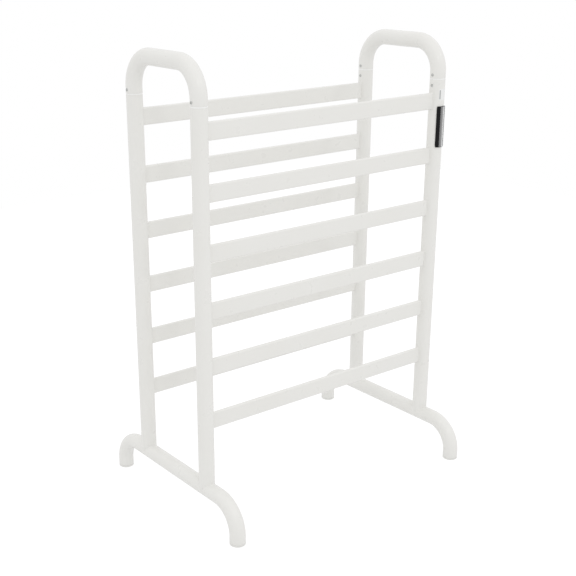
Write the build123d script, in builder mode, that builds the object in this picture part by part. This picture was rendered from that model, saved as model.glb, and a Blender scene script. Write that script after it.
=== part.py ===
from build123d import *
import os

# Free-standing drying rack with two ladders of flat rails between two tubular end frames.
# Millimetres. +X runs along the rails, -Y is the front ladder, +Z is up, and the origin lies
# on the floor under the middle of the rack.

# ---- Driving dimensions --------------------------------------------------------------

tube_diameter = 32.0
tube_wall = 1.2
frame_width = 600.0        # between the upright axes, along the rails
frame_depth = 216.0        # between the front and back upright axes
overall_height = 922.0
bend_radius = 60.0         # centre line of every bend in the loops and the base tubes
base_axis_height = 78.0
foot_spread = 419.0        # between the axes of one base tube's two feet
seam_height = 833.0        # where each carrying loop meets its uprights

rail_count = 6
rail_pitch = 113.0
top_rail_height = 788.0    # middle of the uppermost rail
rail_depth = 34.0
rail_thickness = 8.0
rail_corner = 3.0
rail_wall = 1.0
rail_entry = 3.5           # how far a rail reaches past the upright's inner crest line

collar_height = 2.6
collar_radius = 15.9
joiner_wall = 4.6
joiner_reach_up = 12.5     # into the loop's leg, short of the bend
joiner_reach_down = 20.0   # into the upright
screw_above_seam = 8.0
screw_below_seam = 13.0

control_bottom = 693.0
control_height = 85.0
control_half_angle = 43.0
control_thickness = 2.3

cable_radius = 2.5
lead_radius = 2.75
cable_bend = 9.0

gland_height = 212.0

# ---- Worked out from the driving dimensions --------------------------------------------

tube_radius = tube_diameter / 2
bore_radius = tube_radius - tube_wall
half_width = frame_width / 2
half_depth = frame_depth / 2
loop_axis_height = overall_height - tube_radius
rail_heights = [top_rail_height - rail_pitch * step for step in range(rail_count)]
rail_half_length = half_width - tube_radius + rail_entry
upright_top = seam_height - collar_height / 2
loop_bottom = seam_height + collar_height / 2
screw_heights = {"upper": seam_height + screw_above_seam, "lower": seam_height - screw_below_seam}

SIDES = {"left": -1, "right": 1}
FACES = {"front": -1, "back": 1}
LEGS = [(side, face) for side in SIDES for face in FACES]

os.makedirs("parts", exist_ok=True)


def leg_axis(side, face):
    """X and Y of the upright that stands on one side and one face."""
    return SIDES[side] * half_width, FACES[face] * half_depth


def save(part, name):
    """Label one finished piece and write it as a STEP file."""
    part.label = name
    export_step(part, f"parts/{name}.step")


def facing_x(x, y, direction):
    """Upright plane whose normal is +X or -X and whose local Y axis is +Z."""
    return Plane(origin=(x, y, 0), x_dir=(0, direction, 0), z_dir=(direction, 0, 0))


def end_plane(x):
    """Plane of one end frame: local X is +Y and local Y is +Z."""
    return Plane(origin=(x, 0, 0), x_dir=(0, 1, 0), z_dir=(1, 0, 0))


def ladder_plane(y):
    """Plane of one ladder: local X is +X and local Y is +Z."""
    return Plane(origin=(0, y, 0), x_dir=(1, 0, 0), z_dir=(0, -1, 0))


# ---- Carrying loops ----------------------------------------------------------------------

screw_hole_radius = 2.0

for side, sign in SIDES.items():
    x = sign * half_width
    with BuildPart() as loop:
        with BuildLine(end_plane(x)):
            FilletPolyline(
                (-half_depth, loop_bottom),
                (-half_depth, loop_axis_height),
                (half_depth, loop_axis_height),
                (half_depth, loop_bottom),
                radius=bend_radius,
            )
        with BuildSketch(Plane((x, -half_depth, loop_bottom))):
            Circle(tube_radius)
            Circle(bore_radius, mode=Mode.SUBTRACT)
        sweep()
        for face in FACES.values():
            with BuildSketch(facing_x(x, face * half_depth, -1)):
                with Locations((0, screw_heights["upper"])):
                    Circle(screw_hole_radius)
            extrude(amount=tube_diameter, mode=Mode.SUBTRACT)
    save(loop.part, f"{side}_loop")


# ---- Uprights ----------------------------------------------------------------------------

saddle_clearance = 3.0     # the coped end starts this far above the base tube's axis
window_width = 14.0
window_height = 66.0
control_middle = control_bottom + control_height / 2
gland_body_radius = 5.5

for side, face in LEGS:
    x, y = leg_axis(side, face)
    inward = -SIDES[side]
    with BuildPart() as upright:
        with BuildSketch(Plane((x, y, base_axis_height + saddle_clearance))):
            Circle(tube_radius)
            Circle(bore_radius, mode=Mode.SUBTRACT)
        extrude(amount=upright_top - base_axis_height - saddle_clearance)
        # The lower end is coped to sit astride the base tube.
        with BuildSketch(Plane(origin=(x, y, base_axis_height), z_dir=(0, 1, 0))):
            Circle(tube_radius)
        extrude(amount=tube_diameter, both=True, mode=Mode.SUBTRACT)
        # One slot for each rail, and the lower joiner screw's hole, in the inner wall.
        with BuildSketch(facing_x(x, y, inward)):
            with Locations(*[(0, height) for height in rail_heights]):
                RectangleRounded(rail_thickness, rail_depth, rail_corner)
            with Locations((0, screw_heights["lower"])):
                Circle(screw_hole_radius)
        extrude(amount=tube_diameter, mode=Mode.SUBTRACT)
        if (side, face) == ("right", "front"):
            with BuildSketch(ladder_plane(y)):
                with Locations((x, control_middle)):
                    Rectangle(window_width, window_height)
            extrude(amount=tube_diameter, mode=Mode.SUBTRACT)
        if (side, face) == ("right", "back"):
            with BuildSketch(Plane(origin=(x, y, gland_height), z_dir=(0, 1, 0))):
                Circle(gland_body_radius)
            extrude(amount=tube_diameter, mode=Mode.SUBTRACT)
    save(upright.part, f"upright_{face}_{side}")


# ---- Rails -------------------------------------------------------------------------------

for face, sign in FACES.items():
    for number, height in enumerate(rail_heights, start=1):
        with BuildPart() as rail:
            with BuildSketch(facing_x(0, sign * half_depth, 1)):
                with Locations((0, height)):
                    RectangleRounded(rail_thickness, rail_depth, rail_corner)
                    RectangleRounded(
                        rail_thickness - 2 * rail_wall,
                        rail_depth - 2 * rail_wall,
                        rail_corner - rail_wall,
                        mode=Mode.SUBTRACT,
                    )
            extrude(amount=rail_half_length, both=True)
        save(rail.part, f"rail_{face}_{number}")


# ---- Base tubes and what holds the uprights on them -----------------------------------------

cap_flange = 5.0
cap_plug_length = 12.5
cap_plug_wall = 2.5
cap_edge_round = 1.6
bolt_radius = 3.0
bolt_hole_radius = 3.3
bolt_head_radius = 5.2
bolt_head_height = 3.4
bolt_socket_radius = 2.2
bolt_socket_depth = 2.0
bolt_top = 106.0
washer_radius = 7.0
washer_bottom = base_axis_height + bore_radius - 4.0
access_hole_radius = 7.8   # under the tube, so that the washer and the bolt go in from below
insert_top = 110.0
half_spread = foot_spread / 2

for side, sign in SIDES.items():
    x = sign * half_width
    with BuildPart() as base_tube:
        with BuildLine(end_plane(x)):
            FilletPolyline(
                (-half_spread, cap_flange),
                (-half_spread, base_axis_height),
                (half_spread, base_axis_height),
                (half_spread, cap_flange),
                radius=bend_radius,
            )
        with BuildSketch(Plane((x, -half_spread, cap_flange))):
            Circle(tube_radius)
            Circle(bore_radius, mode=Mode.SUBTRACT)
        sweep()
        # Over each bolt a hole in the top wall, and under it a wider one for the tool.
        for hole_radius, direction in ((bolt_hole_radius, 1), (access_hole_radius, -1)):
            with BuildSketch(Plane((x, 0, base_axis_height))):
                with Locations((0, -half_depth), (0, half_depth)):
                    Circle(hole_radius)
            extrude(amount=direction * tube_diameter, mode=Mode.SUBTRACT)
    save(base_tube.part, f"base_tube_{side}")

for side, face in LEGS:
    x, y = leg_axis(side, face)
    with BuildPart() as insert:
        with BuildSketch(Plane((x, y, base_axis_height))):
            Circle(bore_radius)
            Circle(bolt_radius, mode=Mode.SUBTRACT)
        extrude(amount=insert_top - base_axis_height)
        with BuildSketch(Plane(origin=(x, y, base_axis_height), z_dir=(0, 1, 0))):
            Circle(tube_radius)
        extrude(amount=tube_diameter, both=True, mode=Mode.SUBTRACT)
    save(insert.part, f"bolt_insert_{face}_{side}")

    with BuildPart() as foot_cap:
        foot_y = FACES[face] * half_spread
        with BuildSketch(Plane((x, foot_y, 0))):
            Circle(tube_radius)
        extrude(amount=cap_flange)
        fillet(foot_cap.faces().sort_by(Axis.Z)[0].edges(), cap_edge_round)
        with BuildSketch(Plane((x, foot_y, cap_flange))):
            Circle(bore_radius)
            Circle(bore_radius - cap_plug_wall, mode=Mode.SUBTRACT)
        extrude(amount=cap_plug_length)
    save(foot_cap.part, f"foot_cap_{face}_{side}")

leg_places = [leg_axis(side, face) for side, face in LEGS]

with BuildPart() as bolts:
    with BuildSketch(Plane.XY.offset(washer_bottom - bolt_head_height)):
        with Locations(*leg_places):
            Circle(bolt_head_radius)
    extrude(amount=bolt_head_height)
    head_rims = bolts.faces().filter_by(Plane.XY).group_by(Axis.Z)[0].edges()
    fillet(head_rims, bolt_head_height / 2)
    with BuildSketch(Plane.XY.offset(washer_bottom - bolt_head_height)):
        with Locations(*leg_places):
            RegularPolygon(radius=bolt_socket_radius, side_count=6)
    extrude(amount=bolt_socket_depth, mode=Mode.SUBTRACT)
    with BuildSketch(Plane.XY.offset(washer_bottom)):
        with Locations(*leg_places):
            Circle(bolt_radius)
    extrude(amount=bolt_top - washer_bottom)
save(bolts.part, "base_bolts")

with BuildPart() as washers:
    with BuildSketch(Plane.XY.offset(washer_bottom)):
        with Locations(*leg_places):
            Circle(washer_radius)
            Circle(bolt_hole_radius, mode=Mode.SUBTRACT)
    extrude(amount=tube_radius / 2)
    # Their tops are domed to fit up against the inside of the tube.
    with BuildSketch(Plane.XZ):
        with Locations((-half_width, base_axis_height), (half_width, base_axis_height)):
            Circle(bore_radius)
    extrude(amount=frame_depth, both=True, mode=Mode.INTERSECT)
save(washers.part, "saddle_washers")


# ---- Loop joiners and their screws -----------------------------------------------------------

joiner_bore = bore_radius - joiner_wall
screw_radius = 2.0
screw_head_radius = 3.0
screw_head_height = 1.0
screw_socket_radius = 1.45
screw_socket_depth = 1.1
screw_tip = joiner_bore + 0.3    # distance of the screw's point from the upright's axis

for side, face in LEGS:
    x, y = leg_axis(side, face)
    with BuildPart() as joiner:
        with BuildSketch(Plane((x, y, seam_height - joiner_reach_down))):
            Circle(bore_radius)
            Circle(joiner_bore, mode=Mode.SUBTRACT)
        extrude(amount=joiner_reach_down + joiner_reach_up)
        with BuildSketch(Plane((x, y, upright_top))):
            Circle(collar_radius)
            Circle(joiner_bore, mode=Mode.SUBTRACT)
        extrude(amount=collar_height)
        with BuildSketch(facing_x(x, y, -1)):
            with Locations((0, screw_heights["upper"])):
                Circle(screw_radius)
        extrude(amount=tube_diameter, mode=Mode.SUBTRACT)
        with BuildSketch(facing_x(x, y, -SIDES[side])):
            with Locations((0, screw_heights["lower"])):
                Circle(screw_radius)
        extrude(amount=tube_diameter, mode=Mode.SUBTRACT)
    save(joiner.part, f"loop_joiner_{face}_{side}")

# The upper screws all face -X, because both loops are the same part turned the same way.
# The lower screws face inwards, towards the rails.
screw_places = []
for side, face in LEGS:
    x, y = leg_axis(side, face)
    screw_places.append((x, y, -1, screw_heights["upper"]))
    screw_places.append((x, y, -SIDES[side], screw_heights["lower"]))

with BuildPart() as screws:
    for x, y, direction, height in screw_places:
        with BuildSketch(facing_x(x, y, direction).offset(tube_radius - 1.0)):
            with Locations((0, height)):
                Circle(screw_head_radius)
        extrude(amount=screw_head_height + 1.0)
    for direction in (-1, 1):
        outer_faces = screws.faces().filter_by(lambda f: abs(f.normal_at().X - direction) < 0.01)
        fillet(outer_faces.edges(), screw_head_height / 2)
    # The undersides follow the round of the tube.
    with BuildSketch(Plane.XY.offset(seam_height - joiner_reach_down)):
        with Locations(*leg_places):
            Circle(tube_radius)
    extrude(amount=joiner_reach_down + joiner_reach_up, mode=Mode.SUBTRACT)
    for x, y, direction, height in screw_places:
        with BuildSketch(facing_x(x, y, direction).offset(tube_radius + screw_head_height)):
            with Locations((0, height)):
                RegularPolygon(radius=screw_socket_radius, side_count=6)
        extrude(amount=-screw_socket_depth, mode=Mode.SUBTRACT)
        with BuildSketch(facing_x(x, y, direction).offset(screw_tip)):
            with Locations((0, height)):
                Circle(screw_radius)
        extrude(amount=tube_radius - screw_tip + 0.2)
save(screws.part, "joiner_screws")


# ---- Control strip on the front right upright -------------------------------------------------

control_x, control_y = leg_axis("right", "front")
lens_outer = tube_radius + control_thickness
lens_corner = 3.0
lens_edge_round = 0.9
boss_gap = 0.2             # between the lens boss and the window's edge, all round
boss_wall = 1.0
boss_front = 16.4          # distances from the upright's axis, towards the front
board_front = 9.7
board_thickness = 1.6
board_width = 18.0
board_height = 72.0
board_back = board_front - board_thickness

with BuildPart() as lens:
    with BuildSketch(Plane((control_x, control_y, control_bottom))):
        with BuildLine():
            front_arc = CenterArc((0, 0), lens_outer, -90 - control_half_angle, 2 * control_half_angle)
            back_arc = CenterArc((0, 0), tube_radius, -90 - control_half_angle, 2 * control_half_angle)
            Line(front_arc @ 0, back_arc @ 0)
            Line(front_arc @ 1, back_arc @ 1)
        make_face()
    extrude(amount=control_height)
    lens_width = lens.part.bounding_box().size.X
    with BuildSketch(ladder_plane(control_y)):
        with Locations((control_x, control_middle)):
            RectangleRounded(lens_width, control_height, lens_corner)
    extrude(amount=tube_diameter, mode=Mode.INTERSECT)
    outer_skin = lens.faces().filter_by(GeomType.CYLINDER).sort_by(SortBy.AREA)[-1]
    fillet(outer_skin.edges(), lens_edge_round)
    with BuildSketch(ladder_plane(control_y).offset(board_front)):
        with Locations((control_x, control_middle)):
            Rectangle(window_width - 2 * boss_gap, window_height - 2 * boss_gap)
            Rectangle(
                window_width - 2 * boss_gap - 2 * boss_wall,
                window_height - 2 * boss_gap - 2 * boss_wall,
                mode=Mode.SUBTRACT,
            )
    extrude(amount=boss_front - board_front)
save(lens.part, "control_lens")

with BuildPart() as board:
    with BuildSketch(ladder_plane(control_y).offset(board_back)):
        with Locations((control_x, control_middle)):
            Rectangle(board_width, board_height)
    extrude(amount=board_thickness)
save(board.part, "control_board")

block_width = 17.0
block_height = 12.0
block_back = -9.0
board_top = control_middle + board_height / 2
block_bottom = board_top - block_height

with BuildPart() as block:
    with BuildSketch(ladder_plane(control_y).offset(block_back)):
        with Locations((control_x, board_top - block_height / 2)):
            Rectangle(block_width, block_height)
    extrude(amount=board_back - block_back)
    fillet(block.edges().filter_by(Axis.Y), 0.8)
save(block.part, "terminal_block")

relay_size = (12.0, 20.0, 4.4)
relay_height = control_middle - 6.0

with BuildPart() as relay:
    with BuildSketch(ladder_plane(control_y).offset(board_back - relay_size[2])):
        with Locations((control_x, relay_height)):
            Rectangle(relay_size[0], relay_size[1])
    extrude(amount=relay_size[2])
    fillet(relay.edges().filter_by(Axis.Y), 0.6)
save(relay.part, "heater_relay")

led_size = (2.0, 3.0, 1.4)
led_pitch = 8.0

with BuildPart() as leds:
    with BuildSketch(ladder_plane(control_y).offset(board_front)):
        with Locations((control_x, control_middle + 2.5 * led_pitch)):
            with GridLocations(0, led_pitch, 1, 3):
                Rectangle(led_size[0], led_size[1])
    extrude(amount=led_size[2])
save(leds.part, "indicator_leds")

touch_radius = 3.2
touch_wire = 0.6
touch_pitch = 18.0

with BuildPart() as touch_springs:
    with BuildSketch(ladder_plane(control_y).offset(board_front)):
        with Locations((control_x, control_middle - touch_pitch)):
            with GridLocations(0, touch_pitch, 1, 2):
                Circle(touch_radius)
                Circle(touch_radius - touch_wire, mode=Mode.SUBTRACT)
    extrude(amount=tube_radius - board_front - 0.6)
save(touch_springs.part, "touch_springs")


# ---- Heating cables and wiring, inside the tubes ------------------------------------------------

tail_offset = 6.0          # the returning tail runs this far outside the turns
splice_bottom = top_rail_height + 10.5
splice_height = 12.0
splice_reach = (-9.0, 2.5)
terminal_bottom = 140.0
terminal_height = 18.0
terminal_size = (14.0, 16.0)
lead_outset = 5.5          # the two leads straddle the loop's centre line
lead_x = half_width + 2.0


def heating_route(start_height, end_height):
    """Corners of one cable: down through all the rails and back up the right upright."""
    corners = [(half_width, start_height)]
    x = half_width
    for height in rail_heights:
        corners.append((x, height))
        x = -x
        corners.append((x, height))
    corners[-1] = (half_width + tail_offset, rail_heights[-1])
    corners.append((half_width + tail_offset, end_height))
    return corners


heating_ends = {"front": (board_top, block_bottom), "back": (splice_bottom, splice_bottom)}

for face, sign in FACES.items():
    start_height, end_height = heating_ends[face]
    start_direction = 1 if start_height > top_rail_height else -1
    with BuildPart() as cable:
        with BuildLine(ladder_plane(sign * half_depth)):
            FilletPolyline(*heating_route(start_height, end_height), radius=cable_bend)
        with BuildSketch(
            Plane(
                origin=(half_width, sign * half_depth, start_height),
                z_dir=(0, 0, -start_direction),
            )
        ):
            Circle(cable_radius)
        sweep()
    save(cable.part, f"heating_cable_{face}")


def loop_lead(name, outset, back_end):
    """One lead up from the back right upright, over inside the right loop, to the board."""
    reach = half_depth + outset
    with BuildPart() as lead:
        with BuildLine(end_plane(lead_x)):
            FilletPolyline(
                (reach, back_end),
                (reach, loop_axis_height + outset),
                (-reach, loop_axis_height + outset),
                (-reach, board_top),
                radius=bend_radius + outset,
            )
        with BuildSketch(Plane((lead_x, reach, back_end))):
            Circle(lead_radius)
        sweep()
    save(lead.part, name)


loop_lead("supply_lead", lead_outset, terminal_bottom + terminal_height)
loop_lead("heater_lead", -lead_outset, splice_bottom + splice_height)

with BuildPart() as splice:
    splice_middle = half_depth + sum(splice_reach) / 2
    with BuildSketch(Plane((half_width + 1.0, splice_middle, splice_bottom))):
        Rectangle(16.0, splice_reach[1] - splice_reach[0])
    extrude(amount=splice_height)
    fillet(splice.edges().filter_by(Axis.Z), 0.8)
save(splice.part, "lead_splice")

with BuildPart() as terminal:
    with BuildSketch(Plane((half_width, half_depth, terminal_bottom))):
        Rectangle(*terminal_size)
    extrude(amount=terminal_height)
    fillet(terminal.edges().filter_by(Axis.Z), 0.8)
save(terminal.part, "supply_terminal")


# ---- Cord gland, low on the back right upright ----------------------------------------------------

gland_flange_radius = 8.0
gland_flange_height = 3.0
gland_bore_radius = 3.75
gland_inner_end = 12.0     # distances from the upright's axis, towards the back
gland_outer_end = tube_radius + gland_flange_height

with BuildPart() as gland:
    gland_plane = Plane(origin=(half_width, half_depth, gland_height), z_dir=(0, 1, 0))
    with BuildSketch(gland_plane.offset(gland_inner_end)):
        Circle(gland_flange_radius)
    extrude(amount=gland_outer_end - gland_inner_end)
    outer_rim = gland.faces().sort_by(Axis.Y)[-1].edges()
    fillet(outer_rim, gland_flange_height / 2)
    with BuildSketch(Plane((half_width, half_depth, gland_height))):
        Circle(tube_radius)
    extrude(amount=tube_diameter, both=True, mode=Mode.SUBTRACT)
    with BuildSketch(gland_plane.offset(gland_inner_end)):
        Circle(gland_body_radius)
    extrude(amount=gland_outer_end - gland_inner_end - gland_flange_height / 2)
    with BuildSketch(gland_plane):
        Circle(gland_bore_radius)
    extrude(amount=tube_diameter, mode=Mode.SUBTRACT)
save(gland.part, "cord_gland")
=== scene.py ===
"""Looks of the free-standing drying rack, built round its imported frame.

Every length is in metres. +X runs along the rails, -Y is the front ladder and +Z is up. Places
are worked out from the frame's own boxes, and each piece replaces the plain solid it stands for.
"""

import logging
import math
from collections.abc import Callable, Iterable, Sequence
from dataclasses import dataclass, field
from enum import Enum

import bmesh
import bpy
from mathutils import Matrix, Vector

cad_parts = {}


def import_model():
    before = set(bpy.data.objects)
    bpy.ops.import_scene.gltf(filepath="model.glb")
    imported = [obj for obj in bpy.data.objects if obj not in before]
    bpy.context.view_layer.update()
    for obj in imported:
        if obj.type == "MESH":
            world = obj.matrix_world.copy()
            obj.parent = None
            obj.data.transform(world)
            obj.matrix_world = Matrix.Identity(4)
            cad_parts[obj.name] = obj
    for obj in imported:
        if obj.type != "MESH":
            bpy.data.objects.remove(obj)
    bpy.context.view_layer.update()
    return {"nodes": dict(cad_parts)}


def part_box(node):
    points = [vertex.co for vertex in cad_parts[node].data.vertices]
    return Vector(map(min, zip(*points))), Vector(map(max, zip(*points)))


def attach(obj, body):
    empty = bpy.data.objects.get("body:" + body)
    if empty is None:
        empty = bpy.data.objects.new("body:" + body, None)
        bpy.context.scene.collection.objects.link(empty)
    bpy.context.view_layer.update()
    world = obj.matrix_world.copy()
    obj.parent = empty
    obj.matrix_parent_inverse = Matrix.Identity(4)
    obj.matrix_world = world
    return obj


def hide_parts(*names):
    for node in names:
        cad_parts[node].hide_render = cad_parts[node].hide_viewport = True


log = logging.getLogger("rack")

BODY = "root"
SHARP_EDGE = math.radians(38.0)
MILLIMETRE = 0.001
MERGE_DISTANCE = 0.0005 * MILLIMETRE
UP = Vector((0.0, 0.0, 1.0))
BACKWARD = Vector((0.0, 1.0, 0.0))
QUARTER = (0.0, 30.0, 60.0, 90.0)
BEAD_SIDES = 12
RIPPLE_SCALE = 420.0
RIPPLE_SHARE = 0.5
SADDLE_STEPS = 120
SADDLE_SUNK = 0.35
THINNEST_BEAD = 0.2

Point = tuple[float, float, float]
Inputs = dict[str | int, object]
Colour = tuple[float, float, float]
Ring = tuple[float | Callable[[float], float], float]


class Side(Enum):
    """The two end frames, by the sign of their X."""

    LEFT = -1
    RIGHT = 1

    @property
    def word(self) -> str:
        """The side's name as the nodes spell it."""
        return self.name.lower()


class Face(Enum):
    """The two ladders, by the sign of their Y."""

    FRONT = -1
    BACK = 1

    @property
    def word(self) -> str:
        """The face's name as the nodes spell it."""
        return self.name.lower()


class Slot(Enum):
    """The record's material slots."""

    POWDER_COAT = "white_powder_coat"
    FOOT = "foot_plastic"
    COLLAR = "white_plastic"
    BRIGHT_STEEL = "zinc_steel"
    LENS = "black_gloss_plastic"
    BOARD = "circuit_board"
    TERMINAL = "terminal_plastic"
    RELAY = "relay_plastic"
    LED = "led_lens"
    CABLE = "cable_silicone"
    LEAD = "lead_sheath"
    GLAND = "gland_nylon"


def wired(
    tree: bpy.types.NodeTree,
    kind: str,
    inputs: Inputs,
    **settings: object,
) -> bpy.types.Node:
    """Add a node to a tree.

    Args:
        tree: The tree.
        kind: The node's type.
        inputs: For each input, by name or number, a socket to link or a value to set.
        **settings: Properties to set first.

    Returns:
        The new node.
    """
    node = tree.nodes.new(kind)
    for name, value in settings.items():
        setattr(node, name, value)
    for key, value in inputs.items():
        if isinstance(value, bpy.types.NodeSocket):
            tree.links.new(value, node.inputs[key])
        else:
            node.inputs[key].default_value = value
    return node


# ---- Finishes ------------------------------------------------------------------------------


class ShaderSheet:
    """One material's node tree with a Principled shader, and short ways of adding to it."""

    def __init__(self, name: str) -> None:
        """Start a material.

        Args:
            name: The material's name.
        """
        self.material = bpy.data.materials.new(name)
        self.material.use_nodes = True
        self.tree = self.material.node_tree
        self.tree.nodes.clear()
        self.shader = self.add("ShaderNodeBsdfPrincipled")
        self.add("ShaderNodeOutputMaterial", {"Surface": self.shader.outputs["BSDF"]})
        self.place = self.add("ShaderNodeTexCoord").outputs["Object"]

    def add(self, kind: str, inputs: Inputs | None = None, **settings: object) -> bpy.types.Node:
        """Add a node to the material, as wired does."""
        return wired(self.tree, kind, inputs or {}, **settings)

    def feed(self, **values: float | bpy.types.NodeSocket) -> None:
        """Set or link the shader's own sockets, named with underscores for spaces.

        Args:
            **values: A number or an output for each socket.
        """
        for name, value in values.items():
            socket = self.shader.inputs[name.replace("_", " ")]
            if isinstance(value, bpy.types.NodeSocket):
                self.tree.links.new(value, socket)
            else:
                socket.default_value = value

    def noise(
        self,
        size: float,
        detail: float = 2.0,
        roughness: float = 0.5,
        stretch: Point = (1.0, 1.0, 1.0),
        shift: float = 0.0,
    ) -> bpy.types.NodeSocket:
        """Noise in the piece's own space.

        Args:
            size: Size of the largest features, in metres.
            detail: How many finer octaves it has.
            roughness: How strong those are.
            stretch: How many times longer a feature is along each axis.
            shift: Moves the pattern, so that two of the same size differ.

        Returns:
            The noise's value, from 0 to 1.
        """
        moved = {"Location": (shift, shift * 0.7, -shift), "Scale": [1.0 / length for length in stretch]}
        mapping = self.add("ShaderNodeMapping", {"Vector": self.place, **moved})
        grain = {"Scale": 1.0 / size, "Detail": detail, "Roughness": roughness}
        return self.add("ShaderNodeTexNoise", {"Vector": mapping.outputs["Vector"], **grain}).outputs["Fac"]

    def spread(
        self,
        value: bpy.types.NodeSocket,
        low: float,
        high: float,
        start: float = 0.3,
        end: float = 0.7,
    ) -> bpy.types.NodeSocket:
        """Map a value from one range to another, held at its ends.

        Args:
            value: What is mapped.
            low: The result at start.
            high: The result at end.
            start: Where the input's range starts.
            end: Where it ends.

        Returns:
            The mapped value.
        """
        ends = {"From Min": start, "From Max": end, "To Min": low, "To Max": high}
        return self.add("ShaderNodeMapRange", {"Value": value, **ends}).outputs["Result"]

    def mixed(
        self,
        factor: bpy.types.NodeSocket,
        first: Colour | bpy.types.NodeSocket,
        second: Colour,
    ) -> bpy.types.NodeSocket:
        """Mix two colours.

        Args:
            factor: The share of the second.
            first: A colour, or another mix's result.
            second: The colour at factor 1.

        Returns:
            The mixed colour.
        """
        node = self.add("ShaderNodeMix", {"Factor": factor}, data_type="RGBA")
        colours = [socket for socket in node.inputs if socket.type == "RGBA"]
        if isinstance(first, tuple):
            colours[0].default_value = (*first, 1.0)
        else:
            self.tree.links.new(first, colours[0])
        colours[1].default_value = (*second, 1.0)
        return next(socket for socket in node.outputs if socket.type == "RGBA")

    def relief(
        self,
        height: bpy.types.NodeSocket,
        depth: float,
        below: bpy.types.NodeSocket | None = None,
    ) -> bpy.types.NodeSocket:
        """Bump from a height, over another bump if one is given.

        Args:
            height: The height, from 0 to 1.
            depth: How deep 1 is, in metres.
            below: The normal that it starts from.

        Returns:
            The bumped normal.
        """
        under = {} if below is None else {"Normal": below}
        return self.add("ShaderNodeBump", {"Height": height, "Distance": depth, **under}).outputs["Normal"]


@dataclass(frozen=True)
class Finish:
    """A surface finish, which makes its material once."""

    name: str
    shade: Colour

    def material(self) -> bpy.types.Material:
        """The finish's material, made when it is first asked for.

        Returns:
            The material.
        """
        known = bpy.data.materials.get(self.name)
        if known is not None:
            return known
        sheet = ShaderSheet(self.name)
        self.paint(sheet)
        return sheet.material

    def paint(self, sheet: ShaderSheet) -> None:
        """Add this finish's nodes to the sheet."""
        raise NotImplementedError


@dataclass(frozen=True)
class PowderCoat(Finish):
    """Sprayed and baked paint: a level gloss with fine orange peel and a slow, faint mottle."""

    warm_shade: Colour = (0.862, 0.854, 0.822)
    gloss: tuple[float, float] = (0.26, 0.38)
    peel_size: float = 1.3 * MILLIMETRE
    peel_depth: float = 0.016 * MILLIMETRE
    wave_size: float = 14.0 * MILLIMETRE
    wave_depth: float = 0.022 * MILLIMETRE
    speck_shade: Colour = (0.856, 0.849, 0.818)
    mottle_size: float = 90.0 * MILLIMETRE
    speck_size: float = 0.9 * MILLIMETRE
    speck_range: tuple[float, float] = (0.72, 0.80)
    speck_share: float = 0.5
    streak_size: float = 22.0 * MILLIMETRE

    def paint(self, sheet: ShaderSheet) -> None:
        """Mottle, rare specks, orange peel and a clear, glossy top.

        Args:
            sheet: The sheet that gets the nodes.
        """
        mottle = sheet.spread(sheet.noise(self.mottle_size, detail=3.0), 0.0, 1.0)
        base = sheet.mixed(mottle, self.shade, self.warm_shade)
        specks = sheet.noise(self.speck_size, detail=1.0, shift=3.1)
        specks = sheet.spread(specks, 0.0, self.speck_share, *self.speck_range)
        sheet.feed(Base_Color=sheet.mixed(specks, base, self.speck_shade))
        streaks = sheet.noise(self.streak_size, detail=4.0, shift=1.7)
        sheet.feed(Roughness=sheet.spread(streaks, *self.gloss))
        waves = sheet.relief(sheet.noise(self.wave_size, detail=1.0), self.wave_depth)
        peel = sheet.noise(self.peel_size, detail=2.0, roughness=0.55)
        sheet.feed(Normal=sheet.relief(peel, self.peel_depth, waves))
        sheet.feed(Coat_Weight=0.35, Coat_Roughness=0.12, Coat_IOR=1.5)


@dataclass(frozen=True)
class MouldedPlastic(Finish):
    """Injection moulded plastic with a spark-eroded grain and faint flow marks."""

    second_shade: Colour = (0.6, 0.6, 0.58)
    matt: tuple[float, float] = (0.38, 0.5)
    grain_size: float = 0.5 * MILLIMETRE
    grain_depth: float = 0.02 * MILLIMETRE
    flow_size: float = 12.0 * MILLIMETRE
    fleck_size: float = 0.8 * MILLIMETRE
    fleck_share: float = 0.35
    scuff_size: float = 5.0 * MILLIMETRE

    def paint(self, sheet: ShaderSheet) -> None:
        """Flow marks in the colour, grain in the relief and scuffs in the roughness.

        Args:
            sheet: The sheet that gets the nodes.
        """
        flow = sheet.spread(sheet.noise(self.flow_size, detail=3.0, stretch=(1.0, 1.0, 2.5)), 0.0, 1.0)
        fine = sheet.spread(sheet.noise(self.fleck_size, detail=1.0, shift=2.0), 0.0, self.fleck_share)
        base = sheet.mixed(flow, self.shade, self.second_shade)
        sheet.feed(Base_Color=sheet.mixed(fine, base, self.second_shade))
        sheet.feed(Roughness=sheet.spread(sheet.noise(self.scuff_size, detail=4.0, shift=0.4), *self.matt))
        grain = sheet.noise(self.grain_size, detail=2.0, roughness=0.6)
        sheet.feed(Normal=sheet.relief(grain, self.grain_depth))


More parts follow.
